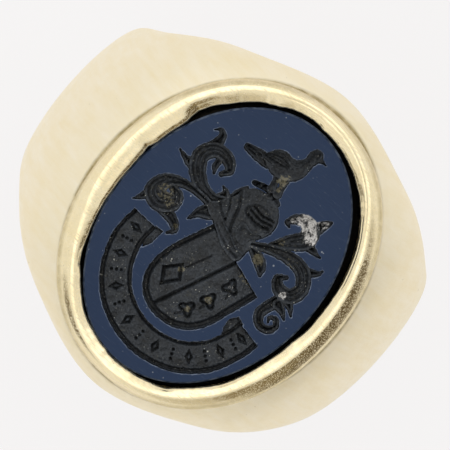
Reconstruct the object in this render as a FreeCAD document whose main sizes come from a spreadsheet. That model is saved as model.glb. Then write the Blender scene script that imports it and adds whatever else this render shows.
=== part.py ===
"""Signet ring: a heavy gold hoop whose head carries an oval rub-over setting with a two-colour layered stone.

Frame, in millimetres: the origin is the middle of the finger hole, +Y runs along the finger, +Z points from the
finger to the seal face, and X runs from shoulder to shoulder. Every oval has its long axis along Y.
"""

import FreeCAD, Part
import math
import os

import Sketcher

doc = FreeCAD.newDocument("signet_ring")

# ---------------------------------------------------------------------------------------------- driving dimensions
SIZES = [
    # finger hole and hoop
    ("finger_radius", 9.1),
    ("side_radius", 11.3),        # crown of the hoop beside the finger
    ("back_radius", 10.8),        # crown of the hoop at the palm side
    ("dome_radius", 14.3),        # crown the hoop would reach on top, if it weren't cut flat
    # oval head, half lengths across the finger (x) and along it (y)
    ("head_height", 12.3),        # from the finger's axis to the flat that the setting stands on
    ("head_x", 7.90),
    ("head_y", 9.42),
    ("pocket_x", 7.06),
    ("pocket_y", 9.0),
    ("pocket_floor", 10.4),
    ("window_x", 5.2),
    ("window_y", 7.1),
    # collet: the wall in the pocket, and the moulded rim above it
    ("solder_gap", 0.03),
    ("wall", 0.42),
    ("rim_x", 7.85),
    ("rim_y", 9.37),
    ("rim_height", 1.12),
    ("rim_round", 0.75),
    ("lip_x", 6.42),
    ("lip_y", 8.36),
    ("lip_foot", 12.50),
    ("lip_rise", 0.34),
    ("lip_round", 0.2),
    # what lies in the collet, from below
    ("plate_thick", 0.4),
    ("bearer_height", 0.3),
    ("bearer_width", 0.65),
    ("inner_gap", 0.03),
    # layered stone
    ("girdle_x", 6.55),
    ("girdle_y", 8.49),
    ("girdle_height", 1.30),
    ("bevel_height", 0.70),
    ("face_x", 6.12),
    ("face_y", 8.07),
    ("blue_thick", 0.15),         # the blue band, cut through by the engraving to the black one
]

sheet = doc.addObject("Spreadsheet::Sheet", "Sizes")
for row, (alias, value) in enumerate(SIZES, start=1):
    sheet.set(f"A{row}", alias)
    sheet.set(f"B{row}", str(value))
    sheet.setAlias(f"B{row}", alias)
doc.recompute()


def size(alias):
    """A driving dimension's value, for shapes that are worked out in code."""
    return float(sheet.get(alias))


# ------------------------------------------------------------------------------------------------- hoop by sections
STATIONS = 72          # sections round the finger
CROWN_STEPS = 12       # poles from a section's widest point to its middle
COMFORT = 0.3          # how far the hole's edges are eased
BLANK_STOCK = 0.06     # left in the hole for the round cut to take away
FITTING_ROUNDS = 3     # times the poles are moved out, so that the surface passes through the sections

# Half width of the band, the radius at its widest, and the half width at the hole, by angle from the head.
BAND_WIDTH = [(0, 10.15), (30, 8.45), (60, 5.95), (90, 4.75), (135, 3.5), (180, 2.95)]
BAND_EDGE = [(0, 10.9), (30, 11.3), (60, 10.6), (90, 10.15), (135, 9.95), (180, 9.9)]
HOLE_WIDTH = [(0, 9.2), (30, 7.9), (60, 5.5), (90, 4.4), (135, 3.2), (180, 2.7)]


def along(stations, angle):
    """The smooth curve through (degrees, value) stations, level at both ends."""
    last = len(stations) - 1
    slopes = [0.0] * (last + 1)
    for i in range(1, last):
        slopes[i] = (stations[i + 1][1] - stations[i - 1][1]) / (stations[i + 1][0] - stations[i - 1][0])
    for i in range(last):
        (a0, v0), (a1, v1) = stations[i], stations[i + 1]
        if angle <= a1:
            step = a1 - a0
            t = (angle - a0) / step
            return (
                (2 * t**3 - 3 * t**2 + 1) * v0
                + (t**3 - 2 * t**2 + t) * step * slopes[i]
                + (3 * t**2 - 2 * t**3) * v1
                + (t**3 - t**2) * step * slopes[i + 1]
            )
    return stations[last][1]


def shoulder_power():
    """The power of the superellipse through the hoop's side, the head's edge and the dome."""
    low, high = 2.0, 5.0
    for _ in range(50):
        power = (low + high) / 2
        reach = (size("head_x") / size("side_radius")) ** power + (size("head_height") / size("dome_radius")) ** power
        if reach > 1:
            low = power
        else:
            high = power
    return power


POWER = shoulder_power()


def crown_radius(angle):
    """Radius of the hoop's middle line: a superellipse above the finger's axis and an ellipse below it."""
    sine, cosine = abs(math.sin(angle)), math.cos(angle)
    if cosine >= 0:
        return ((sine / size("side_radius")) ** POWER + (cosine / size("dome_radius")) ** POWER) ** (-1 / POWER)
    return ((sine / size("side_radius")) ** 2 + (cosine / size("back_radius")) ** 2) ** -0.5


def section_power(angle, width, edge, crown):
    """How full a section's arc is: an ellipse, unless it has to pass through the head's oval on the way up."""
    across = size("head_height") * math.tan(min(angle, math.pi / 4))
    if across >= size("head_x"):
        return 2.0
    top_y = size("head_y") * math.sqrt(1 - (across / size("head_x")) ** 2)
    risen = (size("head_height") / math.cos(angle) - edge) / (crown - edge)
    return math.log(1 - risen**2) / math.log(top_y / width)


def section(angle):
    """One half of the band's section, from the middle of the hole to the crown, as (distance along Y, radius)."""
    degrees = math.degrees(angle)
    width, edge, hole = along(BAND_WIDTH, degrees), along(BAND_EDGE, degrees), along(HOLE_WIDTH, degrees)
    crown = crown_radius(angle)
    power = section_power(angle, width, edge, crown)
    bore = size("finger_radius") - BLANK_STOCK
    half = [
        (0.0, bore),
        (0.4 * hole, bore),
        (0.75 * hole, bore),
        (hole - COMFORT, bore),
        (hole, bore + COMFORT),
        ((hole + width) / 2, (bore + COMFORT + edge) / 2),
    ]
    for k in range(CROWN_STEPS + 1):
        out = math.cos(k * math.pi / 2 / CROWN_STEPS)
        half.append((width * out, edge + (crown - edge) * math.sqrt(1 - out**power)))
    half[-1] = (0.0, crown)
    return half


def drawn_out(points):
    """Poles whose smooth surface passes through the points: each pole moves by what the surface misses it by."""
    around, across = len(points), len(points[0])
    poles = [list(row) for row in points]
    for _ in range(FITTING_ROUNDS):
        eased = [[(row[j - 1] + row[j] * 4 + row[(j + 1) % across]) * (1 / 6) for j in range(across)] for row in poles]
        for i in range(around):
            for j in range(across):
                surface = (eased[i - 1][j] + eased[i][j] * 4 + eased[(i + 1) % around][j]) * (1 / 6)
                poles[i][j] = poles[i][j] + points[i][j] - surface
    return poles


def hoop_blank():
    """The band as one closed solid: a surface with a pole at every section's point, smooth both ways round."""
    points = []
    for i in range(STATIONS):
        turn = 2 * math.pi * i / STATIONS
        half = section(min(turn, 2 * math.pi - turn))
        loop = half + [(-y, r) for y, r in reversed(half[1:-1])]
        points.append([FreeCAD.Vector(r * math.sin(turn), y, r * math.cos(turn)) for y, r in loop])
    poles = drawn_out(points)
    around, across = len(poles), len(poles[0])
    surface = Part.BSplineSurface()
    surface.buildFromPolesMultsKnots(
        poles, [1] * (around + 1), [1] * (across + 1), list(range(around + 1)), list(range(across + 1)),
        True, True, 3, 3,
    )
    solid = Part.Solid(Part.Shell([surface.toShape()]))
    if solid.Volume < 0:
        solid.reverse()
    return solid


# ------------------------------------------------------------------------------------------------ document helpers
REACH = 40.0           # longer than the ring any way, for the tools that cut right through it


def bind(thing, formulas):
    """Ties an object's properties to the driving dimensions."""
    for name, formula in formulas.items():
        thing.setExpression(name, formula)
    return thing


def new(kind, name, **formulas):
    """A Part primitive or operation whose sizes come from the sheet."""
    return bind(doc.addObject(kind, name), formulas)


def cut(name, base, tool):
    """The base with the tool's shape taken out."""
    result = doc.addObject("Part::Cut", name)
    result.Base, result.Tool = base, tool
    return result


def oval_prism(name, half_x, half_y, floor, height):
    """An upright oval prism, long along Y, as a cutting tool."""
    outline = new("Part::Ellipse", name + "_outline", MajorRadius=half_y, MinorRadius=half_x)
    outline.Placement.Rotation = FreeCAD.Rotation(FreeCAD.Vector(0, 0, 1), 90)
    outline.setExpression("Placement.Base.z", floor)
    prism = new("Part::Extrusion", name, LengthFwd=height)
    prism.Base, prism.Solid = outline, True
    prism.DirMode, prism.Dir = "Custom", FreeCAD.Vector(0, 0, 1)
    return prism


def oval_sketch(body, name, level, *ovals):
    """A level sketch of concentric ovals, each given as formulas for its half lengths along X and along Y."""
    sketch = body.newObject("Sketcher::SketchObject", name)
    plane = next(plane for plane in body.Origin.OriginFeatures if plane.Role == "XY_Plane")
    sketch.AttachmentSupport = (plane, [""])
    sketch.MapMode = "FlatFace"
    sketch.setExpression("AttachmentOffset.Base.z", level)
    origin = FreeCAD.Vector(0, 0, 0)
    for number, (half_x, half_y) in enumerate(ovals):
        tip = FreeCAD.Vector(0, sketch.evalExpression(half_y), 0)
        side = FreeCAD.Vector(sketch.evalExpression(half_x), 0, 0)
        oval = sketch.addGeometry(Part.Ellipse(tip, side, origin))
        sketch.exposeInternalGeometry(oval)
        sketch.addConstraint(Sketcher.Constraint("Coincident", oval, 3, -1, 1))
        sketch.addConstraint(Sketcher.Constraint("Vertical", oval + 1))
        for axis, half, value in ((1, half_y, tip.y), (2, half_x, side.x)):
            length = sketch.addConstraint(Sketcher.Constraint("Distance", oval + axis, 2 * value))
            name_of_length = f"oval{number}_{'length' if axis == 1 else 'width'}"
            sketch.renameConstraint(length, name_of_length)
            sketch.setExpression("Constraints." + name_of_length, f"2 * ({half})")
    return sketch


def pad(body, name, sketch, length):
    """The sketch raised by a length."""
    feature = body.newObject("PartDesign::Pad", name)
    feature.Profile = sketch
    feature.setExpression("Length", length)
    return feature


def loft(body, kind, name, *sketches):
    """Straight walls from each sketch to the next, added to the body or taken out of it."""
    feature = body.newObject(kind, name)
    feature.Profile = sketches[0]
    feature.Sections = list(sketches[1:])
    feature.Ruled = True
    return feature


def fillet(body, name, base, level, half_x, radius):
    """A round on the edge that goes right round at a level and reaches out to half_x."""
    doc.recompute()
    picked = []
    for number, edge in enumerate(base.Shape.Edges, start=1):
        box = edge.BoundBox
        at_level = abs(box.ZMin - level) < 1e-4 and abs(box.ZMax - level) < 1e-4
        if at_level and abs(box.XMax - half_x) < 1e-3:
            picked.append(f"Edge{number}")
    feature = body.newObject("PartDesign::Fillet", name)
    feature.Base = (base, picked)
    feature.setExpression("Radius", radius)
    return feature


def body(label):
    """An empty PartDesign body with the sub-part's name."""
    result = doc.addObject("PartDesign::Body", label)
    result.Label = label
    return result


# ------------------------------------------------------------------------------------------------------- sub-parts
def hoop():
    """Cast band with its head: cut flat on top, round inside, with the collet's pocket and a window under it."""
    blank = doc.addObject("Part::Feature", "blank")
    blank.Shape = hoop_blank()
    above = new("Part::Box", "above_the_head")
    above.Length = above.Width = above.Height = REACH
    above.Placement.Base = FreeCAD.Vector(-REACH / 2, -REACH / 2, 0)
    above.setExpression("Placement.Base.z", "Sizes.head_height")
    finger = new("Part::Cylinder", "finger_hole", Radius="Sizes.finger_radius")
    finger.Height = REACH
    finger.Placement = FreeCAD.Placement(
        FreeCAD.Vector(0, REACH / 2, 0), FreeCAD.Rotation(FreeCAD.Vector(1, 0, 0), 90)
    )
    pocket = oval_prism("pocket", "Sizes.pocket_x", "Sizes.pocket_y", "Sizes.pocket_floor", "Sizes.head_height")
    window = oval_prism("window", "Sizes.window_x", "Sizes.window_y", "0 mm", "Sizes.head_height")
    result = blank
    for name, tool in (("topped", above), ("bored", finger), ("pocketed", pocket), ("hoop", window)):
        result = cut(name, result, tool)
    return result


FOOT = ("Sizes.pocket_x - Sizes.solder_gap", "Sizes.pocket_y - Sizes.solder_gap")
CAVITY = tuple(formula + " - Sizes.wall" for formula in FOOT)
INSIDE = tuple(formula + " - Sizes.inner_gap" for formula in CAVITY)
CEMENT = tuple(formula + " - Sizes.bearer_width" for formula in INSIDE)
RIM = ("Sizes.rim_x", "Sizes.rim_y")
LIP = ("Sizes.lip_x", "Sizes.lip_y")
GIRDLE = ("Sizes.girdle_x", "Sizes.girdle_y")
FACE = ("Sizes.face_x", "Sizes.face_y")
BAND_LINE = tuple(
    f"{face} + ({girdle} - {face}) * Sizes.blue_thick / Sizes.bevel_height" for face, girdle in zip(FACE, GIRDLE)
)
PLATE_TOP = "Sizes.pocket_floor + Sizes.plate_thick"
STONE_FOOT = PLATE_TOP + " + Sizes.bearer_height"
GIRDLE_TOP = STONE_FOOT + " + Sizes.girdle_height"
FACE_TOP = GIRDLE_TOP + " + Sizes.bevel_height"


def collet():
    """Rub-over setting: a thin wall in the pocket, a moulded rim above it, and a lip pressed in over the girdle."""
    part = body("collet")
    top = size("head_height") + size("rim_height")
    pad(part, "wall_pad", oval_sketch(part, "foot", "Sizes.pocket_floor", FOOT, CAVITY),
        "Sizes.head_height - Sizes.pocket_floor")
    rim = pad(part, "rim_pad", oval_sketch(part, "rim", "Sizes.head_height", RIM, LIP), "Sizes.rim_height")
    outer = fillet(part, "rim_round", rim, top, size("rim_x"), "Sizes.rim_round")
    fillet(part, "lip_round", outer, top, size("lip_x"), "Sizes.lip_round")
    loft(
        part, "PartDesign::SubtractiveLoft", "under_the_lip",
        oval_sketch(part, "cavity_foot", "Sizes.head_height", CAVITY),
        oval_sketch(part, "lip_foot", "Sizes.lip_foot", CAVITY),
        oval_sketch(part, "lip_edge", "Sizes.lip_foot + Sizes.lip_rise", LIP),
    )
    return part


def back_plate():
    """Thin oval plate that closes the collet over the window."""
    part = body("back_plate")
    pad(part, "plate_pad", oval_sketch(part, "plate_outline", "Sizes.pocket_floor", INSIDE), "Sizes.plate_thick")
    return part


def bearer():
    """Oval ring on the plate that carries the edge of the stone."""
    part = body("bearer")
    pad(part, "bearer_pad", oval_sketch(part, "bearer_outline", PLATE_TOP, INSIDE, CEMENT), "Sizes.bearer_height")
    return part


def cement_bed():
    """Setter's cement that fills the bearer under the stone."""
    part = body("cement_bed")
    pad(part, "cement_pad", oval_sketch(part, "cement_outline", PLATE_TOP, CEMENT), "Sizes.bearer_height")
    return part


def stone_black_layer():
    """The stone's thick black band: an upright girdle and most of the bevel."""
    part = body("stone_black_layer")
    pad(part, "girdle_pad", oval_sketch(part, "girdle_foot", STONE_FOOT, GIRDLE), "Sizes.girdle_height")
    loft(
        part, "PartDesign::AdditiveLoft", "bevel",
        oval_sketch(part, "girdle_top", GIRDLE_TOP, GIRDLE),
        oval_sketch(part, "bevel_top", FACE_TOP + " - Sizes.blue_thick", BAND_LINE),
    )
    return part


def stone_blue_layer():
    """The stone's thin blue-grey band, with the flat seal face."""
    part = body("stone_blue_layer")
    loft(
        part, "PartDesign::AdditiveLoft", "face",
        oval_sketch(part, "band_line", FACE_TOP + " - Sizes.blue_thick", BAND_LINE),
        oval_sketch(part, "face_outline", FACE_TOP, FACE),
    )
    return part


SUB_PARTS = [
    build() for build in (hoop, collet, back_plate, bearer, cement_bed, stone_black_layer, stone_blue_layer)
]
doc.recompute()

# --------------------------------------------------------------------------------------------- checks and STEP files
for thing in doc.Objects:
    if "Invalid" in thing.State or "Error" in thing.State:
        raise SystemExit(f"{thing.Label} failed: {thing.State}")
for part in SUB_PARTS:
    if part.Shape.isNull() or not part.Shape.isValid():
        raise SystemExit(f"{part.Label} has no valid shape")

os.makedirs("parts", exist_ok=True)
for part in SUB_PARTS:
    box = part.Shape.optimalBoundingBox()
    part.Shape.exportStep(f"parts/{part.Label}.step")
    print(
        f"{part.Label}: {len(part.Shape.Solids)} solid, {part.Shape.Volume:.2f} mm3,"
        f" z {box.ZMin:.2f} to {box.ZMax:.2f}, {box.XLength:.2f} x {box.YLength:.2f}"
    )
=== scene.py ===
"""Signet ring: the looks of every piece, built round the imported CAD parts.

Shapes are worked out in millimetres in the ring's own frame and turned into metres as each mesh is made. The
origin is the middle of the finger hole, +Y runs along the finger and the stone, +Z points at the seal face.
"""

import math

import bmesh
import bpy
import numpy as np
from mathutils import Matrix, Vector
from mathutils.geometry import delaunay_2d_cdt


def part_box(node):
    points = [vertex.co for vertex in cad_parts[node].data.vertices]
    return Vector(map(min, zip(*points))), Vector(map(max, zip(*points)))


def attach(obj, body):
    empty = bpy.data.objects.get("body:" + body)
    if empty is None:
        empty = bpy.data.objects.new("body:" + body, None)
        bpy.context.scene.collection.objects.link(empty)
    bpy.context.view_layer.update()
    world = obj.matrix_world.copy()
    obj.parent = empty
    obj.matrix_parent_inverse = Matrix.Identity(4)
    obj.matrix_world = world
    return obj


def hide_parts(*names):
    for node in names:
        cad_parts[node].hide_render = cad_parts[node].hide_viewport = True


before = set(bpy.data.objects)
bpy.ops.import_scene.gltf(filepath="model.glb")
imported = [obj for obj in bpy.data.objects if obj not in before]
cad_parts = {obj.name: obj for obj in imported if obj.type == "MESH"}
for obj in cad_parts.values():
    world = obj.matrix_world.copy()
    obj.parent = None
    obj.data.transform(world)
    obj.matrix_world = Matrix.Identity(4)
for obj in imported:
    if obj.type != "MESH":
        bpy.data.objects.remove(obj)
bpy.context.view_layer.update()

MM = 0.001
SEED = 7


# ---------------------------------------------------------------------------------------- sizes from the CAD
def half_sizes(node, level):
    """Half lengths along X and Y, in mm, of a CAD node's oval at a height in mm."""
    points = [v.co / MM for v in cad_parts[node].data.vertices if abs(v.co.z / MM - level) < 0.005]
    return np.array([max(p.x for p in points), max(p.y for p in points)])


def level_of(node, top):
    """The height in mm of a CAD node's top or foot."""
    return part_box(node)[1 if top else 0].z / MM


HEAD_LEVEL = level_of("hoop", True)
RIM_TOP = level_of("collet", True)
WALL_FOOT = level_of("collet", False)
FACE_LEVEL = level_of("stone_blue_layer", True)
BAND_LEVEL = level_of("stone_blue_layer", False)
STONE_FOOT = level_of("stone_black_layer", False)
FLOOR_LEVEL = level_of("hoop", False)

WALL = half_sizes("collet", WALL_FOOT)
FACE = half_sizes("stone_blue_layer", FACE_LEVEL)
BAND = half_sizes("stone_blue_layer", BAND_LEVEL)
GIRDLE = half_sizes("stone_black_layer", STONE_FOOT)
GIRDLE_HEIGHT = 1.30
GIRDLE_LEVEL = STONE_FOOT + GIRDLE_HEIGHT
LIP_OVER_STONE = 0.13
LIP = GIRDLE - LIP_OVER_STONE
WALL_THICK = 0.42


# ---------------------------------------------------------------------------------------------- mesh helpers
def mesh_object(name, points, faces, smooth=True):
    """A mesh object from points in mm."""
    mesh = bpy.data.meshes.new(name)
    mesh.from_pydata((np.asarray(points) * MM).tolist(), [], faces)
    mesh.validate()
    mesh.update()
    if smooth:
        mesh.shade_smooth()
    made = bpy.data.objects.new(name, mesh)
    bpy.context.scene.collection.objects.link(made)
    return made


def finish_piece(piece, material, slot, *nodes):
    """Gives a piece its material and its place on the ring, and hides the CAD nodes that it stands for."""
    if material:
        piece.data.materials.append(material)
    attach(piece, "root")
    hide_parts(*nodes)
    return piece


def curve_through(points, closed=False, steps=8):
    """A smooth curve through the points (Catmull-Rom), whatever number of values each has."""
    points = np.asarray(points, float)
    if closed:
        ends = np.vstack([points[-1], points, points[:2]])
    else:
        ends = np.vstack([2 * points[0] - points[1], points, 2 * points[-1] - points[-2]])
    t = np.linspace(0, 1, steps, endpoint=False)[:, None]
    runs = []
    for a, b, c, d in zip(ends, ends[1:], ends[2:], ends[3:]):
        bend, twist = 2 * a - 5 * b + 4 * c - d, 3 * b - a - 3 * c + d
        runs.append(0.5 * (2 * b + (c - a) * t + bend * t**2 + twist * t**3))
    if not closed:
        runs.append(points[-1:])
    return np.vstack(runs)


def ease(value):
    """0 to 1 with level ends."""
    value = np.clip(value, 0, 1)
    return value * value * (3 - 2 * value)


def wander(turn, waves, seed):
    """A smooth random line round the oval, about -1 to 1, as wavy as the number of waves given."""
    draws = np.random.default_rng(seed)
    total = 0
    for wave in range(max(1, waves // 2), waves + 1):
        total = total + draws.normal() * np.sin(wave * turn + draws.uniform(0, 2 * math.pi))
    return total / math.sqrt(waves / 2 + 1)


# ------------------------------------------------------------------------------------------------- engraving
class Engraving:
    """The carved device as pictures over the face: how far outside the cut a point is, and how deep it is."""

    def __init__(self, half, step):
        self.step = step
        self.x = np.arange(-half[0], half[0] + step, step)
        self.y = np.arange(-half[1], half[1] + step, step)
        self.X, self.Y = np.meshgrid(self.x, self.y)
        self.outside = np.full(self.X.shape, 5.0)
        self.depth = np.zeros(self.X.shape)

    def window(self, path, margin):
        """The part of the pictures that a mark reaches."""
        low, high = path[:, :2].min(0) - margin, path[:, :2].max(0) + margin
        columns = slice(*np.searchsorted(self.x, (low[0], high[0])))
        rows = slice(*np.searchsorted(self.y, (low[1], high[1])))
        return rows, columns

    def carve(self, distance, window, floor, edge, slope, ribs=0.0, pitch=0.2):
        """Cuts a form, from its edge's depth to its floor's over the slope's width, with ribs along it."""
        form = edge + (floor - edge) * ease(-distance / slope)
        form = form + ribs * np.cos(2 * math.pi * distance / pitch) * ease(-distance / (0.7 * pitch))
        self.depth[window] = np.where(distance < 0, form, self.depth[window])
        self.outside[window] = np.minimum(self.outside[window], distance)

    def outline(self, path, floor, edge=0.3, slope=0.3, **more):
        """Cuts the form inside a closed path."""
        window = self.window(path, 0.5)
        x, y = self.X[window], self.Y[window]
        nearest, inside = np.full(x.shape, 9.0), np.zeros(x.shape, bool)
        for (ax, ay), (bx, by) in zip(path, np.roll(path, -1, axis=0)):
            dx, dy = bx - ax, by - ay
            along = np.clip(((x - ax) * dx + (y - ay) * dy) / max(dx * dx + dy * dy, 1e-12), 0, 1)
            nearest = np.minimum(nearest, np.hypot(x - ax - along * dx, y - ay - along * dy))
            if dy != 0:
                inside ^= ((ay > y) != (by > y)) & (x < ax + (y - ay) * dx / dy)
        self.carve(np.where(inside, -nearest, nearest), window, floor, edge, slope, **more)

    def stroke_distance(self, path, window):
        """How far each point is outside a stroke, whose path gives x, y and half width."""
        x, y = self.X[window], self.Y[window]
        nearest = np.full(x.shape, 9.0)
        for (ax, ay, ar), (bx, by, br) in zip(path, path[1:]):
            dx, dy = bx - ax, by - ay
            along = np.clip(((x - ax) * dx + (y - ay) * dy) / max(dx * dx + dy * dy, 1e-12), 0, 1)
            reach = np.hypot(x - ax - along * dx, y - ay - along * dy) - ar - along * (br - ar)
            nearest = np.minimum(nearest, reach)
        return nearest

    def stroke(self, points, floor, edge=0.28, slope=0.22, **more):
        """Cuts a stroke of varying width through points of (x, y, half width)."""
        path = curve_through(points)
        window = self.window(path, path[:, 2].max() + 0.5)
        self.carve(self.stroke_distance(path, window), window, floor, edge, slope, **more)

    def score(self, points, width, deeper, smooth=True):
        """Sinks a line into what is already cut, or raises it where deeper is negative."""
        path = curve_through(points) if smooth else np.asarray(points, float)
        path = np.column_stack([path, np.zeros(len(path))])
        window = self.window(path, 3 * width)
        far = self.stroke_distance(path, window)
        self.depth[window] += deeper * np.exp(-((far / width) ** 2)) * ease(-self.outside[window] / 0.06)


def blurred(cut, picture, size):
    """A picture over the face with everything much smaller than a size smoothed away."""
    waves_y = np.fft.fftfreq(picture.shape[0], cut.step)[:, None]
    waves_x = np.fft.rfftfreq(picture.shape[1], cut.step)[None, :]
    kept = np.exp(-((waves_x**2 + waves_y**2) * (1.5 * size) ** 2))
    return np.fft.irfft2(np.fft.rfft2(picture) * kept, s=picture.shape)


def uneven(cut, size, seed):
    """A smooth random picture over the face, about -1 to 1, with bumps of about the given size."""
    smooth = blurred(cut, np.random.default_rng(seed).normal(size=cut.X.shape), size)
    return smooth / smooth.std() / 2


def hand_cut(cut):
    """Roughens outlines and floors as a graver does, and finds the ridges that stand above their surroundings for
    the painted shade.
    """
    cut.outside += 0.020 * uneven(cut, 0.16, SEED) + 0.008 * uneven(cut, 0.07, SEED + 1)
    inside = ease(-cut.outside / 0.1)
    cut.depth += inside * (0.022 * uneven(cut, 0.22, SEED + 2) + 0.022 * uneven(cut, 0.09, SEED + 3))
    cut.depth = np.maximum(cut.depth, 0.2)
    share = np.maximum(blurred(cut, (cut.outside < 0).astype(float), 0.2), 0.05)
    around = blurred(cut, np.where(cut.outside < 0, cut.depth, 0), 0.2) / share
    cut.ridge = np.clip(0.5 + 5.0 * (around - cut.depth), 0, 1)


def mantling(cut):
    """Acanthus scrolls that flow out of the helmet on both sides, cut as leaves with ribs along them."""
    leaf = {"floor": 0.56, "slope": 0.34, "ribs": 0.045, "pitch": 0.23}
    upper_left = [
        [(-1.1, 2.0, 0.3), (-1.9, 1.6, 0.36), (-2.7, 1.7, 0.38), (-3.5, 2.2, 0.46), (-3.9, 3.0, 0.46),
         (-3.5, 3.65, 0.42), (-2.75, 3.75, 0.36), (-2.25, 3.35, 0.26), (-2.45, 2.9, 0.14)],
        [(-3.0, 3.45, 0.2), (-2.95, 3.0, 0.17), (-2.75, 2.7, 0.07)],
        [(-3.8, 3.5, 0.36), (-3.68, 4.05, 0.28), (-3.75, 4.5, 0.2), (-4.02, 4.66, 0.12), (-4.28, 4.45, 0.04)],
        [(-3.7, 2.3, 0.36), (-4.3, 2.3, 0.22), (-4.95, 2.45, 0.04)],
        [(-1.6, 1.9, 0.34), (-1.6, 2.3, 0.2), (-1.95, 2.5, 0.04)],
        [(-1.0, 2.3, 0.4), (-1.1, 2.8, 0.2), (-0.95, 3.3, 0.1)],
    ]
    lower_left = [
        [(-1.4, 1.25, 0.2), (-2.5, 1.33, 0.2), (-3.6, 1.22, 0.27), (-4.4, 0.7, 0.4), (-4.5, -0.05, 0.55),
         (-3.95, -0.3, 0.6), (-3.4, 0.05, 0.5), (-3.45, 0.5, 0.34), (-3.85, 0.65, 0.2)],
        [(-4.6, -0.3, 0.3), (-4.8, -0.75, 0.18), (-5.08, -1.15, 0.04)],
        [(-3.6, -0.5, 0.34), (-2.8, -0.62, 0.3), (-2.32, -0.95, 0.19), (-2.52, -1.35, 0.07)],
        [(-1.5, 1.1, 0.5), (-1.95, 0.6, 0.28), (-2.2, -0.05, 0.04)],
    ]
    upper_right = [
        [(1.95, 1.8, 0.1), (2.35, 2.2, 0.3), (2.75, 2.65, 0.44), (3.2, 3.15, 0.52), (3.15, 3.75, 0.5),
         (2.6, 4.0, 0.38), (2.12, 3.75, 0.28), (1.85, 3.35, 0.14), (2.1, 3.2, 0.06)],
        [(3.2, 3.9, 0.38), (3.42, 4.45, 0.27), (3.62, 4.85, 0.1)],
        [(3.4, 3.15, 0.36), (3.9, 3.08, 0.2), (4.42, 3.06, 0.04)],
    ]
    lower_right = [
        [(1.2, 1.15, 0.2), (2.2, 1.65, 0.28), (3.3, 1.98, 0.38), (4.25, 1.85, 0.42), (4.8, 1.15, 0.4),
         (4.6, 0.45, 0.44), (3.95, 0.35, 0.36), (3.5, 0.75, 0.25), (3.8, 1.1, 0.12)],
        [(4.35, 1.95, 0.3), (4.85, 2.3, 0.17), (5.0, 2.62, 0.05)],
        [(4.65, 0.2, 0.3), (5.05, -0.05, 0.17), (5.35, -0.3, 0.05)],
        [(4.45, -0.3, 0.32), (4.85, -0.45, 0.18), (5.2, -0.7, 0.06)],
        [(4.35, 0.0, 0.36), (4.08, -0.75, 0.32), (4.0, -1.3, 0.29), (4.35, -1.72, 0.25), (4.85, -1.7, 0.23),
         (5.1, -1.3, 0.19), (4.85, -0.95, 0.15), (4.55, -1.1, 0.1), (4.65, -1.35, 0.05)],
        [(1.35, 1.0, 0.15), (1.95, 0.87, 0.33), (2.42, 0.57, 0.28), (2.68, 0.22, 0.08)],
    ]
    for scroll in (upper_left, lower_left, upper_right, lower_right):
        for points in reversed(scroll):
            cut.stroke(points, **leaf)


def helmet(cut):
    """A closed helmet in profile, with a barred visor, a gorget and a twisted wreath on top."""
    dome = [
        (-1.65, 1.7), (-1.1, 2.6), (-0.85, 3.3), (-0.2, 3.72), (0.7, 3.72), (1.38, 3.2), (1.64, 2.45),
        (1.5, 1.85), (1.2, 1.3), (1.35, 0.75), (1.2, -0.1), (0.2, 0.0), (-0.5, 0.4), (-1.05, 0.7),
        (-1.7, 1.0), (-1.95, 1.4),
    ]
    cut.outline(curve_through(dome, closed=True), floor=0.5, slope=0.5)
    visor = [(-0.35, 2.45), (0.1, 3.05), (0.8, 3.15), (1.4, 2.75), (1.5, 2.2), (0.9, 1.85), (0.1, 1.95)]
    cut.outline(curve_through(visor, closed=True), floor=0.64, edge=0.48, slope=0.25)
    for rise in (0.0, 0.27, 0.54):
        cut.score([(0.05, 2.2 + rise), (0.75, 2.12 + rise), (1.38, 2.28 + rise)], 0.055, 0.13)
    chin = [(0.15, 1.75), (0.85, 1.65), (1.4, 1.8), (1.1, 1.3), (0.85, 0.75), (0.2, 1.0)]
    cut.outline(curve_through(chin, closed=True), floor=0.58, edge=0.44, slope=0.3)
    cut.score([(-1.0, 2.9), (-0.55, 2.2), (-0.3, 1.4), (0.0, 0.8)], 0.08, 0.14)
    cut.score([(-1.3, 2.4), (-0.9, 1.8), (-0.65, 1.2)], 0.06, 0.1)
    cut.score([(-1.5, 1.75), (-1.1, 1.4), (-0.7, 1.2)], 0.06, 0.1)
    cut.score([(-0.6, 1.0), (0.1, 0.75), (0.75, 0.45), (1.25, 0.45)], 0.05, -0.14)
    cut.score([(-0.9, 0.75), (-0.2, 0.4), (0.5, 0.15), (1.1, 0.1)], 0.06, 0.1)
    cut.stroke([(-0.85, 3.75, 0.15), (0.0, 3.95, 0.2), (0.85, 3.7, 0.15)], floor=0.5, edge=0.35)
    for twist in (-0.6, -0.3, 0.0, 0.3, 0.6):
        cut.score([(twist - 0.08, 3.65), (twist + 0.08, 4.1)], 0.045, 0.11)


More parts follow.
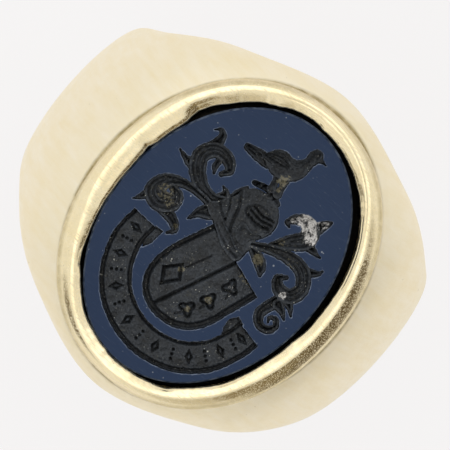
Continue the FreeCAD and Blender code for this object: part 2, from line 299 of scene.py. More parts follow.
def crest_bird(cut):
    """A standing bird in profile, with a folded wing and a short tail."""
    tail = [(-1.15, 5.35), (-2.0, 5.25), (-2.5, 5.1), (-2.55, 4.85), (-2.3, 4.7), (-1.5, 4.65), (-0.8, 4.75)]
    cut.outline(curve_through(tail, closed=True), floor=0.44, ribs=0.03, pitch=0.17)
    for spread in (0.0, 0.16, 0.32):
        cut.score([(-0.9, 4.95 + spread), (-2.35, 4.82 + spread)], 0.035, 0.07)
    for foot in (-0.15, 0.3):
        cut.stroke([(foot, 4.9, 0.26), (foot + 0.12, 4.5, 0.19), (foot + 0.2, 4.05, 0.24)], floor=0.42)
    body = [
        (-1.3, 5.1), (-1.2, 5.75), (-0.7, 6.1), (-0.05, 6.1), (0.3, 6.45), (0.3, 6.95), (0.5, 7.3),
        (0.85, 7.3), (1.1, 7.05), (1.42, 6.92), (1.05, 6.8), (0.92, 6.4), (0.95, 5.8), (0.7, 5.2),
        (0.2, 4.8), (-0.6, 4.7),
    ]
    cut.outline(curve_through(body, closed=True), floor=0.52, slope=0.42)
    wing = [(-1.55, 5.15), (-1.0, 5.75), (-0.35, 5.85), (0.2, 5.55), (-0.2, 5.2), (-0.9, 5.05)]
    cut.outline(curve_through(wing, closed=True), floor=0.62, edge=0.5, slope=0.25)
    for feather in (0.0, 0.17, 0.34):
        line = [(-1.3, 5.2 + 0.4 * feather), (-0.6, 5.3 + feather), (0.0, 5.42 + 0.5 * feather)]
        cut.score(line, 0.035, 0.06)
    cut.score([(0.78, 7.1), (0.79, 7.09)], 0.05, 0.12)


def beside(path, offset):
    """The line at an offset to the left of a path."""
    ahead = np.gradient(path, axis=0)
    ahead /= np.linalg.norm(ahead, axis=1)[:, None]
    return path + offset * np.column_stack([-ahead[:, 1], ahead[:, 0]])


SHIELD = [
    (-0.98, 0.66), (-1.68, -1.0), (-2.02, -2.1), (-2.1, -3.0), (-1.9, -3.9), (-1.32, -4.6), (-0.5, -4.98),
    (0.35, -5.03), (1.15, -4.86), (1.95, -4.3), (2.52, -3.4), (2.86, -2.35), (3.36, -0.72),
]


def polygon_ring(middle, radius, count=20, lobes=0, swell=0.0, turned=0.0):
    """Points round a middle: a circle, or a trefoil when it has three lobes."""
    turn = np.linspace(0, 2 * math.pi, count, endpoint=False)
    reach = radius * (1 + swell * np.cos(lobes * (turn - math.pi / 2 - turned)))
    return np.array(middle) + np.column_stack([reach * np.cos(turn), reach * np.sin(turn)])


def shield(cut):
    """A tilted shield, split down the middle, with a lozenge on one half and three trefoils on the other."""
    path = curve_through(SHIELD, steps=6)
    cut.outline(path, floor=0.64, edge=0.34, slope=0.1)
    cut.outline(beside(path, 0.25), floor=0.41, edge=0.58, slope=0.14)
    cut.score([(1.33, -0.15), (-0.5, -4.62)], 0.085, 0.2, smooth=False)
    cut.score([(1.16, -0.1), (-0.67, -4.57)], 0.05, -0.06, smooth=False)
    cut.score([(0.1, -0.75), (-0.5, -2.1)], 0.05, 0.09, smooth=False)
    lozenge = np.array([(-0.75, -1.98), (-0.22, -2.8), (-0.95, -3.72), (-1.52, -2.85)])
    cut.outline(lozenge, floor=0.66, edge=0.52, slope=0.1)
    cut.outline(lozenge.mean(0) + 0.72 * (lozenge - lozenge.mean(0)), floor=0.47, edge=0.58, slope=0.1)
    for (x, y), turned in (((1.97, -1.32), 0.3), ((1.58, -2.62), 0.0), ((1.0, -3.7), -0.25)):
        cut.stroke([(x + 0.1, y - 0.1, 0.07), (x - 0.1 + turned, y - 0.62, 0.05)], floor=0.6, edge=0.5)
        cut.outline(polygon_ring((x, y), 0.42, 36, 3, 0.25, turned), floor=0.64, edge=0.5, slope=0.12)
        cut.outline(polygon_ring((x, y), 0.30, 36, 3, 0.32, turned), floor=0.33, edge=0.58, slope=0.2)


RIBBON_HALF = 0.8
RIBBON = [
    (-3.87, -1.5), (-3.87, -3.0), (-3.2, -4.62), (-1.9, -5.85), (0.05, -6.43), (2.0, -6.05), (3.4, -4.95),
    (4.1, -3.5), (4.3, -2.5),
]


def ribbon(cut):
    """A blank ribbon under the shield, with turned ends and a running ornament of lozenges and beads."""
    path = curve_through(RIBBON, steps=10)
    left_fold = [(-3.2, -1.45), (-2.7, -1.4), (-2.75, -2.3), (-3.0, -2.75), (-3.2, -2.4)]
    right_fold = [(3.0, -2.55), (3.3, -2.15), (3.75, -2.3), (3.6, -3.1), (3.25, -3.5), (3.05, -3.1)]
    for fold in (left_fold, right_fold):
        cut.outline(np.array(fold), floor=0.36, edge=0.28, slope=0.15)
        cut.score(np.array(fold[:3]) + (0.0, -0.15), 0.05, 0.08)
    share = np.linspace(0, math.pi, len(path))[:, None]
    half = RIBBON_HALF + 0.08 * np.sin(share)
    band = np.vstack([beside(path, half), beside(path, -half)[::-1]])
    cut.outline(band, floor=0.60, edge=0.34, slope=0.08)
    flat = np.vstack([beside(path, half - 0.18), beside(path, 0.18 - half)[::-1]])
    cut.outline(flat, floor=0.42, edge=0.54, slope=0.1)
    ahead = np.gradient(path, axis=0)
    ahead /= np.linalg.norm(ahead, axis=1)[:, None]
    aside = np.column_stack([-ahead[:, 1], ahead[:, 0]])
    for number, place in enumerate(range(5, len(path) - 4, 5)):
        middle, forth, up = path[place], ahead[place], aside[place]
        if number % 2:
            for side in (-0.26, 0.0, 0.26):
                cut.outline(polygon_ring(middle + side * up, 0.095, 12), floor=0.58, edge=0.48, slope=0.08)
        else:
            tall, wide = 0.44 * up, 0.24 * forth
            lozenge = np.array([middle + tall, middle + wide, middle - tall, middle - wide])
            cut.outline(lozenge, floor=0.60, edge=0.50, slope=0.1)
            cut.outline(middle + 0.45 * (lozenge - middle), floor=0.40, edge=0.52, slope=0.08)


STEP = 0.031
device = Engraving(FACE, STEP)
for part in (mantling, ribbon, shield, helmet, crest_bird, hand_cut):
    part(device)


# ----------------------------------------------------------------------------------- outlines of the carving
def level_lines(field, x, y, level):
    """Closed lines along which a gridded field has a level, walked from cell to cell (marching squares)."""
    field = field - level
    field[field == 0] = 1e-9
    inside = field < 0
    crossing = {}

    def point(row, column, down):
        key = (row, column, down)
        if key not in crossing:
            other = (row + 1, column) if down else (row, column + 1)
            share = field[row, column] / (field[row, column] - field[other])
            crossing[key] = (
                x[column] + (0 if down else share * (x[column + 1] - x[column])),
                y[row] + (share * (y[row + 1] - y[row]) if down else 0),
            )
        return key

    follows = {}
    mixed = inside[:-1, :-1].astype(int) + inside[:-1, 1:] + inside[1:, :-1] + inside[1:, 1:]
    for row, column in np.argwhere((mixed > 0) & (mixed < 4)):
        # corners and sides anticlockwise from the low left, so that the inside stays on the left of the line
        corners = [inside[row + i, column + j] for i, j in ((0, 0), (0, 1), (1, 1), (1, 0))]
        sides = [(row, column, False), (row, column + 1, True), (row + 1, column, False), (row, column, True)]
        outs = [side for side in range(4) if corners[side] and not corners[(side + 1) % 4]]
        for out in outs:
            back = out
            while corners[back]:
                back = (back - 1) % 4
            follows[point(*sides[back])] = point(*sides[out])
    loops = []
    while follows:
        start, here = follows.popitem()
        loop = [start]
        while here != start:
            loop.append(here)
            here = follows.pop(here)
        loops.append(np.array([crossing[key] for key in loop]))
    return loops


# ------------------------------------------------------------------------------------------------- materials
class Look:
    """A material's nodes, with short ways to add one and join it up. Noise scales are per millimetre."""

    def __init__(self, name, **shader):
        self.material = bpy.data.materials.new(name)
        self.material.use_nodes = True
        self.tree = self.material.node_tree
        self.shader = self.tree.nodes["Principled BSDF"]
        for socket, value in shader.items():
            self.set(self.shader, socket.replace("_", " "), value)
        place = self.add("TexCoord").outputs["Object"]
        self.place = self.add("VectorMath", {0: place, "Scale": 1 / MM}, operation="SCALE").outputs[0]

    def set(self, node, socket, value):
        """Puts a value on a socket, or joins another node's output to it."""
        if isinstance(value, bpy.types.NodeSocket):
            self.tree.links.new(value, node.inputs[socket])
        else:
            node.inputs[socket].default_value = value

    def add(self, kind, inputs=(), **settings):
        """A new node with its settings and inputs."""
        node = self.tree.nodes.new("ShaderNode" + kind)
        for setting, value in settings.items():
            setattr(node, setting, value)
        for socket, value in dict(inputs).items():
            self.set(node, socket, value)
        return node

    def math(self, operation, *values):
        """The result of a sum."""
        return self.add("Math", dict(enumerate(values)), operation=operation).outputs[0]

    def spread(self, value, low, high, to_low=0.0, to_high=1.0):
        """A value's range moved to another range, and kept inside it."""
        return self.add("MapRange", {0: value, 1: low, 2: high, 3: to_low, 4: to_high}).outputs[0]

    def noise(self, scale, detail=2.0, place=None, roughness=0.5):
        """Smooth noise, 0 to 1."""
        inputs = {"Vector": place or self.place, "Scale": scale, "Detail": detail, "Roughness": roughness}
        return self.add("TexNoise", inputs).outputs["Fac"]

    def mix(self, share, first, second):
        """One colour turning into another."""
        node = self.add("Mix", {0: share, 6: first, 7: second}, data_type="RGBA")
        return node.outputs[2]

    def scratches(self, degrees, length, width, rare):
        """Thin straight marks: noise drawn out one way, cut down to its highest lines."""
        turn = (0, 0, math.radians(degrees))
        scale = (1 / length, 1 / width, 1 / width)
        place = self.add("Mapping", {"Vector": self.place, "Rotation": turn, "Scale": scale}).outputs[0]
        return self.spread(self.noise(1.0, 0.0, place), rare, rare + 0.06)

    def specks(self, scale, size, share, dimensions="2D"):
        """Round dots in a share of the cells of a random grid, seen from above (2D) or on any side (3D)."""
        cells = self.add("TexVoronoi", {"Vector": self.place, "Scale": scale}, voronoi_dimensions=dimensions)
        drawn = self.add("SeparateXYZ", {0: cells.outputs["Color"]}).outputs["X"]
        chosen = self.spread(drawn, 1 - share, 1.0)
        radius = self.math("MULTIPLY", chosen, size * scale)
        return self.spread(self.math("SUBTRACT", radius, cells.outputs["Distance"]), 0.0, 0.3 * size * scale)

    def patches(self, noise, places):
        """Ragged patches where a noise is high, round places of (middle, radius, how thickly covered)."""
        cover = 0.0
        for middle, radius, fill in places:
            away = self.add("VectorMath", {0: self.place, 1: middle}, operation="DISTANCE").outputs["Value"]
            cover = self.math("MAXIMUM", self.spread(away, 0.4 * radius, radius, fill, 0.0), cover)
        return self.spread(self.math("ADD", noise, cover), 1.0, 1.09)

    def height(self):
        """How high a point lies on the ring, in mm."""
        return self.add("SeparateXYZ", {0: self.place}).outputs["Z"]

    def most(self, *values):
        """The highest of several masks."""
        highest = values[0]
        for value in values[1:]:
            highest = self.math("MAXIMUM", highest, value)
        return highest

    def bump(self, *layers):
        """Gives the surface relief from (height, depth in mm) layers."""
        normal = None
        for height, depth in layers:
            inputs = {"Height": height, "Distance": depth * MM, "Strength": 1.0}
            if normal:
                inputs["Normal"] = normal
            normal = self.add("Bump", inputs).outputs[0]
        self.set(self.shader, "Normal", normal)


SEAM = (7.85, 9.33)                    # the oval where the rim's foot meets the head, where dirt and a line of painted shade are drawn


def gold(name, roughness, pale, rich, marks, seam=0.0):
    """Worn yellow gold: a soft polish with hair scratches, pits, uneven colour, and dirt with painted shade in
    the seam.
    """
    look = Look(name, Metallic=1.0)
    streak = look.add("Mapping", {"Vector": look.place, "Scale": (0.35, 1.8, 0.35)}).outputs[0]
    cloud = look.noise(0.9, 5.0, streak, 0.65)
    warm = look.mix(look.spread(cloud, 0.3, 0.7), rich, pale)
    pits = look.most(look.specks(0.9, 0.07, 0.35, "3D"), look.specks(2.2, 0.035, 0.35, "3D"))
    warm = look.mix(look.math("MULTIPLY", pits, 0.75), warm, (0.42, 0.33, 0.17, 1))
    if seam:
        # a dark line round the rim's foot: dirt together with painted shade that stands in for the groove's
        # shadow
        flat = look.add("VectorMath", {0: look.place, 1: (1 / SEAM[0], 1 / SEAM[1], 0)}, operation="MULTIPLY")
        reach = look.add("VectorMath", {0: flat.outputs[0]}, operation="LENGTH").outputs["Value"]
        off = look.math("ABSOLUTE", look.math("SUBTRACT", reach, 1.0))
        seam_dirt_and_shade = look.math("MULTIPLY", look.spread(off, 0.022, 0.004), look.spread(look.height(), 12.0, 12.3))
        seam_dirt_and_shade = look.math("MULTIPLY", seam_dirt_and_shade, look.spread(look.noise(2.0, 3.0), 0.3, 0.6, 0.5 * seam, seam))
        # the seam's colour: dirt and painted shade
        warm = look.mix(seam_dirt_and_shade, warm, (0.34, 0.27, 0.12, 1))
    look.set(look.shader, "Base Color", warm)
    lines = look.most(
        look.scratches(25, 1.6, 0.030, 0.70),
        look.scratches(-52, 1.1, 0.024, 0.70),
        look.scratches(80, 2.2, 0.035, 0.71),
    )
    worn = look.spread(look.noise(1.3, 4.0), 0.3, 0.7, roughness - 0.05, roughness + 0.08)
    look.set(look.shader, "Roughness", look.math("ADD", worn, look.math("MULTIPLY", lines, 0.15)))
    look.bump(
        (look.noise(0.8, 2.0), 0.04 * marks),
        (look.noise(5.0, 3.0), 0.003 * marks),
        (look.math("MULTIPLY", lines, -1.0), 0.005 * marks),
        (look.math("MULTIPLY", pits, -1.0), 0.012 * marks),
    )
    return look.material


def blue_stone():
    """The blue band's polished face: deep navy, faintly clouded, with hair scratches and dust."""
    look = Look("stone_blue", Specular_IOR_Level=0.20)
    navy = look.mix(look.noise(0.25, 2.0), (0.007, 0.022, 0.064, 1), (0.011, 0.030, 0.080, 1))
    lines = look.most(look.scratches(12, 1.1, 0.016, 0.76), look.scratches(-65, 0.8, 0.014, 0.77))
    dust = look.most(
        look.specks(1.6, 0.040, 0.22),
        look.specks(0.7, 0.060, 0.16),
        look.specks(3.5, 0.02, 0.10),
    )
    scuffed = look.mix(look.math("MULTIPLY", lines, 0.4), navy, (0.09, 0.12, 0.18, 1))
    dusty = look.mix(look.math("MULTIPLY", dust, 0.6), scuffed, (0.35, 0.38, 0.42, 1))
    look.set(look.shader, "Base Color", dusty)
    look.set(look.shader, "Roughness", look.spread(look.noise(2.0, 3.0), 0.3, 0.7, 0.16, 0.26))
    look.bump((look.noise(0.5, 1.0), 0.004), (look.math("MULTIPLY", lines, -1.0), 0.0012))
    return look.material


def blue_edge_highlight():
    """The blue band's cut edge, painted paler in patches as a highlight."""
    look = Look("stone_blue_edge", Roughness=0.35)
    # painted highlight: noise sets the edge's colour between near navy and a pale blue-grey
    share = look.spread(look.noise(3.0, 3.0), 0.35, 0.65)
    pale = look.mix(share, (0.018, 0.032, 0.070, 1), (0.12, 0.155, 0.23, 1))
    look.set(look.shader, "Base Color", pale)
    look.bump((look.noise(12.0), 0.004))
    return look.material


CHALK = [                              # pale dirt left in the carving: middle, radius, how thickly it covers
    ((2.75, 3.95), 1.2, 0.60), ((3.4, 3.5), 0.8, 0.60), ((3.5, 4.5), 0.5, 0.58), ((2.1, 3.6), 0.5, 0.56),
    ((4.3, 0.2), 0.45, 0.60), ((4.7, 1.2), 0.7, 0.40), ((-2.85, 3.35), 0.45, 0.50),
    ((1.97, -1.32), 0.3, 0.50), ((-3.3, 0.2), 0.7, 0.42), ((3.6, -4.4), 0.8, 0.36),
    ((-0.4, 5.5), 0.6, 0.36),
]
EARTH = [                              # brownish dirt
    ((0.25, 4.75), 0.6, 0.62), ((0.35, 4.3), 0.4, 0.60), ((-4.0, 0.2), 1.0, 0.52),
    ((-3.45, -0.1), 0.6, 0.52), ((2.05, 0.75), 0.65, 0.62), ((2.35, 2.3), 0.5, 0.52),
    ((-0.65, -2.35), 0.4, 0.60), ((1.55, -2.6), 0.42, 0.62), ((1.03, -3.7), 0.35, 0.58),
    ((2.3, -0.35), 0.9, 0.50), ((1.5, -0.05), 0.5, 0.50), ((3.5, 1.8), 0.7, 0.46),
    ((-2.4, -0.85), 0.4, 0.54), ((1.9, -4.1), 0.3, 0.52), ((0.4, 5.0), 0.5, 0.50),
]


DIRT_LEVEL = FACE_LEVEL - 0.45         # the height at which the dirt patches are centred


def black_stone():
    """The black band: glossy on the bevel, and matt, grainy and a little dirty where it is carved, with painted
    shade and glints.
    """
    look = Look("stone_black", Specular_IOR_Level=0.25)
    carved = look.add("Attribute", attribute_name="carved").outputs["Fac"]
    grain = look.noise(9.0, 4.0, roughness=0.65)
    height = look.height()
    ridge = look.add("Attribute", attribute_name="ridge").outputs["Fac"]
    # painted shade: the carving is near black where it lies deep or below its surroundings, and shows the grain's
    # greys on ridges near the face
    near_face = look.spread(height, FACE_LEVEL - 0.75, FACE_LEVEL - 0.40, 0.45, 1.0)
    painted_ridge_light = look.math("MULTIPLY", near_face, ridge)
    cloud = look.noise(1.4, 3.0, roughness=0.6)
    lit = look.mix(look.spread(grain, 0.25, 0.75), (0.033, 0.040, 0.050, 1), (0.095, 0.108, 0.128, 1))
    lit = look.mix(look.spread(cloud, 0.45, 0.68, 0.0, 0.62), lit, (0.014, 0.013, 0.011, 1))
    dark = look.mix(look.math("MULTIPLY", painted_ridge_light, carved), (0.003, 0.003, 0.003, 1), lit)

    def dirt(noise, listed):
        return look.patches(noise, [((x, y, DIRT_LEVEL), radius, fill) for (x, y), radius, fill in listed])

    chalk = dirt(look.noise(4.2, 5.0, roughness=0.72), CHALK)
    earth = dirt(look.noise(8.0, 4.0, roughness=0.7), EARTH)
    clumps = look.spread(look.noise(0.8, 2.0), 0.46, 0.62, 0.15, 1.0)
    glints = look.most(
        look.specks(2.2, 0.050, 0.16),
        look.specks(4.5, 0.034, 0.20),
        look.specks(8.0, 0.022, 0.16),
    )
    glints = look.math("MULTIPLY", glints, clumps)
    dusty = look.spread(look.noise(5.5, 5.0, roughness=0.75), 0.56, 0.72, 0.0, 0.30)
    film = look.math("MULTIPLY", look.math("MULTIPLY", dusty, carved), clumps)
    colour = look.mix(film, dark, (0.26, 0.24, 0.16, 1))
    colour = look.mix(look.math("MULTIPLY", earth, 0.50), colour, (0.30, 0.265, 0.165, 1))
    chalky = look.math("MULTIPLY", chalk, look.spread(grain, 0.2, 0.5))
    colour = look.mix(chalky, colour, (0.78, 0.76, 0.74, 1))
    glinting = look.math("MULTIPLY", glints, look.math("MULTIPLY", carved, 0.85))
    colour = look.mix(glinting, colour, (0.62, 0.62, 0.56, 1))
    look.set(look.shader, "Base Color", colour)
    look.set(look.shader, "Roughness", look.spread(carved, 0.0, 1.0, 0.14, 0.42))
    look.bump(
        (look.math("MULTIPLY", carved, look.noise(4.0, 2.0)), 0.05),
        (look.math("MULTIPLY", carved, look.noise(11.0, 4.0, roughness=0.6)), 0.035),
        (look.math("MULTIPLY", chalk, look.noise(7.0, 3.0)), 0.06),
    )
    return look.material


def cement():
    """Dull brown setter's cement."""
    look = Look("cement", Roughness=0.8)
    brown = look.mix(look.noise(3.0, 4.0), (0.22, 0.13, 0.06, 1), (0.36, 0.22, 0.11, 1))
    look.set(look.shader, "Base Color", brown)
    look.bump((look.noise(6.0, 3.0), 0.05))
    return look.material


# ----------------------------------------------------------------------------------------------------- stone
CHAMFER = 0.038                        # how wide the blue band's cut edges are broken
CHAMFER_DROP = 0.03
OVAL_POINTS = 360
OFF_MIDDLE = np.array([-0.05, -0.07])  # how far the polished face was ground off the middle of the stone


def oval_points(half, level, count=OVAL_POINTS):
    """Points round an oval."""
    turn = np.linspace(0, 2 * math.pi, count, endpoint=False)
    return np.column_stack([half[0] * np.cos(turn), half[1] * np.sin(turn), np.full(count, level)])


def field_at(field, points):
    """A gridded field read between its grid points."""
    column = np.clip((points[:, 0] - device.x[0]) / device.step, 0, len(device.x) - 1.001)
    row = np.clip((points[:, 1] - device.y[0]) / device.step, 0, len(device.y) - 1.001)
    i, j = row.astype(int), column.astype(int)
    u, v = column - j, row - i
    low = field[i, j] * (1 - u) + field[i, j + 1] * u
    high = field[i + 1, j] * (1 - u) + field[i + 1, j + 1] * u
    return low * (1 - v) + high * v


def stone_top():
    """One triangulation of the stone's top, with the lines where the blue band is cut through as edges."""
    points, edges = [], []
    lines = [oval_points(half, 0)[:, :2] + OFF_MIDDLE for half in (FACE, BAND)]
    lines += level_lines(device.outside, device.x, device.y, 0.0)
    lines += level_lines(device.outside, device.x, device.y, CHAMFER)
    for line in lines:
        first = len(points)
        points += line.tolist()
        edges += [(first + i, first + (i + 1) % len(line)) for i in range(len(line))]
    inside = device.outside < -0.45 * device.step
    points += np.column_stack([device.X[inside], device.Y[inside]]).tolist()
    found = delaunay_2d_cdt([Vector(point) for point in points], edges, [], 0, 1e-7)
    return np.array([tuple(v) for v in found[0]]), np.array(found[2])


def carve_stone(blue_materials, black_material):
    """The two bands: the blue plate with the device cut out of it, and the black stone carved under it."""
    flat, triangles = stone_top()
    outside = field_at(device.outside, flat)
    depth = field_at(device.depth, flat)
    reach = np.hypot(*((flat - OFF_MIDDLE) / BAND).T)
    beyond = reach > 1 - 1e-5

    black_level = np.where(outside < -1e-3, np.minimum(FACE_LEVEL - depth, BAND_LEVEL), BAND_LEVEL)
    grain = np.random.default_rng(SEED).normal(0, 0.004, len(flat))
    black_level = black_level + np.where(outside < -0.1, grain, 0)
    points = [np.column_stack([flat, black_level])]
    faces = triangles.tolist()
    edge = np.flatnonzero(beyond)
    edge = edge[np.argsort(np.arctan2(flat[edge, 1], flat[edge, 0]) % (2 * math.pi))].tolist()
    for level in (GIRDLE_LEVEL, STONE_FOOT):
        first = sum(map(len, points))
        points.append(oval_points(GIRDLE, level, len(edge)))
        below = list(range(first, first + len(edge)))
        faces += [[a, b, d, c] for a, b, c, d in zip(below, below[1:] + below[:1], edge, edge[1:] + edge[:1])]
        edge = below
    faces.append(edge[::-1])
    black = mesh_object("carved_black_layer", np.vstack(points), faces)
    carved = np.zeros(len(black.data.vertices), np.float32)
    carved[: len(flat)] = ease(-outside / 0.05)
    # ridge: how far each point of the carving stands above its surroundings, from which the black stone's colour
    # paints shade into the hollows
    ridge = np.zeros_like(carved)
    ridge[: len(flat)] = field_at(device.ridge, flat)
    for name, values in (("carved", carved), ("ridge", ridge)):
        black.data.attributes.new(name, "FLOAT", "POINT").data.foreach_set("value", values)
    black.data.set_sharp_from_angle(angle=math.radians(50))

    deepest = outside[triangles].min(1)
    on_line = np.abs(outside[triangles]).max(1) < 1e-4
    middle = field_at(device.outside, flat[triangles].mean(1))
    kept = triangles[np.where(on_line, middle > 0, deepest > -1e-4)]
    used = np.unique(kept)
    renumber = np.zeros(len(flat), int)
    renumber[used] = np.arange(len(used))
    kept = renumber[kept]
    drop = CHAMFER_DROP * (1 - np.clip(outside[used] / CHAMFER, 0, 1))
    top_level = np.where(beyond[used], BAND_LEVEL, FACE_LEVEL - drop)
    under = len(used)
    points = np.vstack([
        np.column_stack([flat[used], top_level]),
        np.column_stack([flat[used], np.full(under, BAND_LEVEL)]),
    ])
    sides = {}
    for a, b, c in kept.tolist():
        for side in ((a, b), (b, c), (c, a)):
            if side[::-1] in sides:
                del sides[side[::-1]]
            else:
                sides[side] = True
    walls = [[b, a, a + under, b + under] for a, b in sides if not beyond[used[a]]]
    faces = kept.tolist() + (kept[:, ::-1] + under).tolist() + walls
    blue = mesh_object("carved_blue_layer", points, faces, False)
    bm = bmesh.new()
    bm.from_mesh(blue.data)
    bmesh.ops.remove_doubles(bm, verts=bm.verts, dist=1e-9)
    bm.to_mesh(blue.data)
    bm.free()
    for material in blue_materials:
        blue.data.materials.append(material)
    # faces that don't face straight up, the cut edges among them, take the edge material with its painted
    # highlight
    for polygon in blue.data.polygons:
        polygon.material_index = int(polygon.normal.z < 0.98)
    finish_piece(blue, None, "stone_blue", "stone_blue_layer")
    finish_piece(black, black_material, "stone_black", "stone_black_layer")


# ---------------------------------------------------------------------------------------------------- collet
AROUND = 900
RIM_SEEN = np.array([7.78, 9.28])      # the rim's foot, inside the CAD's, so that a groove shows round it
FULLER = 0.057                         # how much squarer than an oval the rim's foot is
LIP_LINE = [                           # the burnished edge's distance outside the lip's oval, round the ring
    (0, 0.00), (8, -0.02), (14, 0.03), (22, 0.07), (30, 0.10), (38, 0.12), (45, 0.07), (53, 0.02),
    (60, -0.03), (67, -0.08), (75, -0.12), (83, -0.15), (90, -0.16), (95, -0.07), (101, -0.04),
    (108, -0.02), (113, -0.07), (118, -0.02), (122, 0.06), (129, 0.06), (136, 0.10), (142, 0.19),
    (147, 0.20), (150, 0.08), (153, -0.05), (160, -0.10), (167, -0.10), (170, 0.0), (173, -0.08),
    (180, -0.13), (190, -0.10), (200, -0.03), (210, 0.03), (217, 0.12), (222, 0.13), (226, 0.05),
    (233, 0.02), (240, 0.03), (246, -0.01), (251, -0.09), (257, -0.12), (262, -0.17), (265, -0.09),
    (271, -0.12), (279, -0.10), (286, -0.05), (291, 0.03), (297, 0.12), (301, 0.04), (306, 0.0),
    (313, 0.03), (320, 0.06), (327, 0.02), (335, -0.06), (343, -0.09), (351, -0.10), (357, -0.04),
]
# share of the way from lip to foot, height, and how far the lip's line moves it
RIM_PROFILE = [
    (1.0, 12.30, 0), (1.0, 12.62, 0), (1.0, 12.88, 0), (0.985, 12.98, 0), (0.94, 13.07, 0), (0.87, 13.165, 0),
    (0.79, 13.26, 0), (0.71, 13.33, 0), (0.63, 13.382, 0), (0.56, 13.412, 0), (0.49, 13.42, 0.03),
    (0.41, 13.415, 0.1), (0.33, 13.395, 0.25), (0.25, 13.365, 0.45), (0.18, 13.33, 0.75), (0.12, 13.295, 1.0),
    (0.06, 13.245, 1.0), (0.02, 13.17, 1.0), (0.0, 13.07, 1.0), (0.005, 12.95, 1.0), (0.03, 12.87, 1.0),
    (0.12, 12.72, 0.5),
]
CREST = [                              # where the rim's highest line lies between lip and foot, by angle
    (0, 0.42), (40, 0.40), (65, 0.60), (87, 0.70), (110, 0.70), (140, 0.68), (170, 0.66), (190, 0.58),
    (205, 0.38), (225, 0.32), (245, 0.42), (270, 0.50), (300, 0.42), (330, 0.36), (350, 0.38),
]


CREST_SMOOTH = 12                      # points to each side over which the crest's line is evened out


def round_ring(listed, turn):
    """Values listed by angle, read anywhere round the ring."""
    degrees, values = zip(*listed)
    return np.interp(np.degrees(turn), degrees + (360,), values + (values[0],))


def lip_line(turn):
    """How far the lip's edge lies outside its oval, by angle: as listed, with a fine tremble."""
    listed = round_ring(LIP_LINE, turn)
    off_middle = 0.05 * np.cos(turn) + 0.03 * np.sin(turn)
    return listed + off_middle + 0.008 * wander(turn, 40, SEED) + 0.004 * wander(turn, 130, SEED + 1)


def collet(material):
    """The setting: its wall, its moulded rim with a rounded crest, and the lip pressed over the stone."""
    turn = np.linspace(0, 2 * math.pi, AROUND, endpoint=False)
    cosine, sine = np.cos(turn), np.sin(turn)
    out = lip_line(turn)
    normal = np.column_stack([cosine / LIP[0], sine / LIP[1]])
    normal /= np.linalg.norm(normal, axis=1)[:, None]
    creased = ease((np.degrees(turn) - 30) / 15) * ease((118 - np.degrees(turn)) / 15)
    dented = wander(turn, 14, SEED + 4)
    crest_moves = round_ring(CREST, turn)
    reach = range(-CREST_SMOOTH, CREST_SMOOTH + 1)
    crest_moves = sum(np.roll(crest_moves, i) for i in reach) / len(reach) - 0.5
    rings = []
    for share, level, loose in curve_through(RIM_PROFILE, steps=3):
        share = min(max(share, 0), 1)
        moved = share + 3.6 * crest_moves * share * (1 - share)
        width = RIM_SEEN - LIP
        power = 1 - FULLER * share
        half = LIP + width * moved[:, None]
        x = half[:, 0] * np.sign(cosine) * np.abs(cosine) ** power + out * loose * normal[:, 0]
        y = half[:, 1] * np.sign(sine) * np.abs(sine) ** power + out * loose * normal[:, 1]
        crest = ease(share / 0.3) * ease((1 - share) / 0.3)
        crease = 0.022 * creased * math.exp(-(((share - 0.36) / 0.035) ** 2))
        z = level - 0.35 * loose * out + (0.010 * dented - 0.010) * crest - crease
        rings.append(np.column_stack([x, y, np.minimum(z, RIM_TOP)]))
    rings += [oval_points(WALL - WALL_THICK, level, AROUND) for level in (12.50, WALL_FOOT)]
    rings += [oval_points(WALL, level, AROUND) for level in (WALL_FOOT, HEAD_LEVEL)]
    faces = []
    count = len(rings)
    for i in range(count):
        here, there = i * AROUND, (i + 1) % count * AROUND
        for j in range(AROUND):
            k = (j + 1) % AROUND
            faces.append([here + j, here + k, there + k, there + j])
    piece = mesh_object("burnished_collet", np.vstack(rings), faces)
    piece.data.set_sharp_from_angle(angle=math.radians(50))
    return finish_piece(piece, material, "gold", "collet")


# ----------------------------------------------------------------------------------------- camera and studio
IMAGE_RIGHT = Vector((0.745, 0.667, 0)).normalized()
IMAGE_UP = Vector((-0.667, 0.745, 0)).normalized()
CAMERA_LEAN = (0.024, 0.120)           # how far the view leans to the right and top, per unit of height
CAMERA_AWAY = 0.30
FRAME_WIDTH = 23.8 * MM                # what the picture is wide, at the stone
AIM = (0.307 * MM, 1.095 * MM)         # right of and above the stone's middle, where the camera looks


def camera():
    """Looks down on the seal face, with the ring's long axis leaning to the upper right."""
    toward = (Vector((0, 0, 1)) + IMAGE_RIGHT * CAMERA_LEAN[0] + IMAGE_UP * CAMERA_LEAN[1]).normalized()
    above = toward.cross(IMAGE_RIGHT).normalized()
    right = above.cross(toward)
    target = Vector((0, 0, FACE_LEVEL * MM)) + right * AIM[0] + above * AIM[1]
    data = bpy.data.cameras.new("camera")
    data.sensor_width = 36
    data.lens = data.sensor_width * CAMERA_AWAY / FRAME_WIDTH
    made = bpy.data.objects.new("camera", data)
    bpy.context.scene.collection.objects.link(made)
    columns = (right, above, toward, target + toward * CAMERA_AWAY)
    made.matrix_world = Matrix([column.to_4d() for column in columns]).transposed()
    bpy.context.scene.camera = made


def floor():
    """A pale sheet that glows like a light table, so the ring hardly shades it."""
    look = Look("floor", Roughness=0.9, Base_Color=(0.08, 0.08, 0.08, 1), Specular_IOR_Level=0.0)
    look.set(look.shader, "Emission Color", (1.0, 0.985, 0.985, 1))
    look.set(look.shader, "Emission Strength", 0.845)
    half = 600.0
    corners = [(-half, -half), (half, -half), (half, half), (-half, half)]
    sheet = mesh_object("floor", [(x, y, FLOOR_LEVEL - 0.02) for x, y in corners], [[0, 1, 2, 3]], False)
    sheet.data.materials.append(look.material)


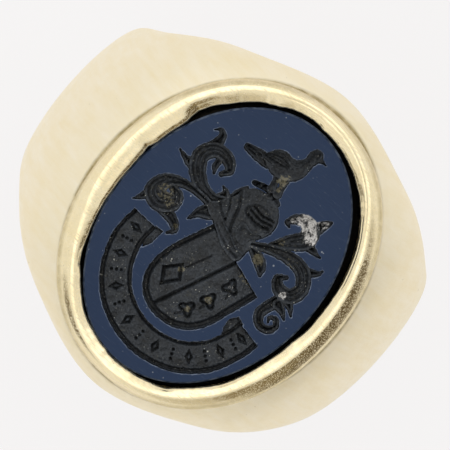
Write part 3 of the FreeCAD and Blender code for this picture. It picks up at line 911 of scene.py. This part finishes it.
def softbox(name, direction, away, size, power, colour):
    """A round light that faces the ring."""
    data = bpy.data.lights.new(name, "AREA")
    data.shape = "DISK"
    data.size = size
    data.energy = power
    data.color = colour
    light = bpy.data.objects.new(name, data)
    bpy.context.scene.collection.objects.link(light)
    direction = Vector(direction).normalized()
    light.location = direction * away
    light.rotation_euler = direction.to_track_quat("Z", "Y").to_euler()


# where the light in the tent changes: right, up, height; degrees to the outer and inner edge; share; colour
PLACES = [
    (0.62, -0.78, 0.66, 30, 23, 0.98, (0.09, 0.062, 0.024, 1)),
    (-0.90, -0.43, 0.56, 19, 10, 0.92, (0.12, 0.09, 0.045, 1)),
    (0.10, -1.0, 0.62, 28, 16, 0.50, (0.36, 0.30, 0.18, 1)),
    (-0.05, 0.12, 1.0, 22, 9, 1.0, (1.7, 1.68, 1.62, 1)),
]


def studio():
    """A white tent with a bright panel overhead, and a few warm dark places low down where the room shows."""
    world = bpy.data.worlds.new("studio")
    world.use_nodes = True
    tree = world.node_tree
    bpy.context.scene.world = world

    def node(kind, **settings):
        made = tree.nodes.new("ShaderNode" + kind)
        for setting, value in settings.items():
            setattr(made, setting, value)
        return made

    def part(direction):
        """How far a ray points one way."""
        dot = node("VectorMath", operation="DOT_PRODUCT")
        tree.links.new(ray, dot.inputs[0])
        dot.inputs[1].default_value = direction
        return dot.outputs["Value"]

    def ramp(value, stops):
        """A value turned into brightness."""
        made = node("ValToRGB")
        made.color_ramp.elements[0].position = stops[0][0]
        for position, _ in stops[1:-1]:
            made.color_ramp.elements.new(position)
        for element, (position, level) in zip(made.color_ramp.elements, stops):
            element.position = position
            element.color = (level, level, level * 0.985, 1)
        tree.links.new(value, made.inputs[0])
        return made.outputs[0]

    ray = node("TexCoord").outputs["Generated"]
    light = ramp(part((0, 0, 1)), [(0.0, 0.935), (0.3, 0.95), (0.80, 0.95), (1.0, 0.90)])
    for across, up, rise, outer, inner, share, colour in PLACES:
        toward = IMAGE_RIGHT * across + IMAGE_UP * up + Vector((0, 0, rise))
        near = node("MapRange", interpolation_type="SMOOTHSTEP")
        tree.links.new(part(toward.normalized()), near.inputs[0])
        near.inputs[1].default_value = math.cos(math.radians(outer))
        near.inputs[2].default_value = math.cos(math.radians(inner))
        near.inputs[4].default_value = share
        mix = node("Mix", data_type="RGBA")
        tree.links.new(near.outputs[0], mix.inputs[0])
        tree.links.new(light, mix.inputs[6])
        mix.inputs[7].default_value = colour
        light = mix.outputs[2]
    background = tree.nodes["Background"]
    tree.links.new(light, background.inputs["Color"])
    background.inputs["Strength"].default_value = 0.95
    toward = IMAGE_UP * 0.6 - IMAGE_RIGHT * 0.1 + Vector((0, 0, 0.8))
    softbox("key", toward, 0.35, 0.24, 0.10, (1.0, 0.995, 0.98))


# ------------------------------------------------------------------------------------------------- the build
camera()
studio()
floor()
bpy.context.scene.view_settings.view_transform = "Standard"

collet(gold("gold_rim", 0.17, (0.95, 0.83, 0.57, 1), (0.92, 0.78, 0.49, 1), 0.7, 0.5))
carve_stone((blue_stone(), blue_edge_highlight()), black_stone())
for node, material in (
    ("hoop", gold("gold_band", 0.50, (0.95, 0.875, 0.70, 1), (0.92, 0.82, 0.585, 1), 1.0, 0.8)),
    ("back_plate", gold("gold_plate", 0.32, (0.94, 0.84, 0.60, 1), (0.90, 0.78, 0.50, 1), 1.2)),
    ("bearer", gold("gold_bearer", 0.35, (0.94, 0.84, 0.60, 1), (0.90, 0.78, 0.50, 1), 1.2)),
    ("cement_bed", cement()),
):
    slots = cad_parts[node].material_slots
    for slot in slots:
        slot.material = material
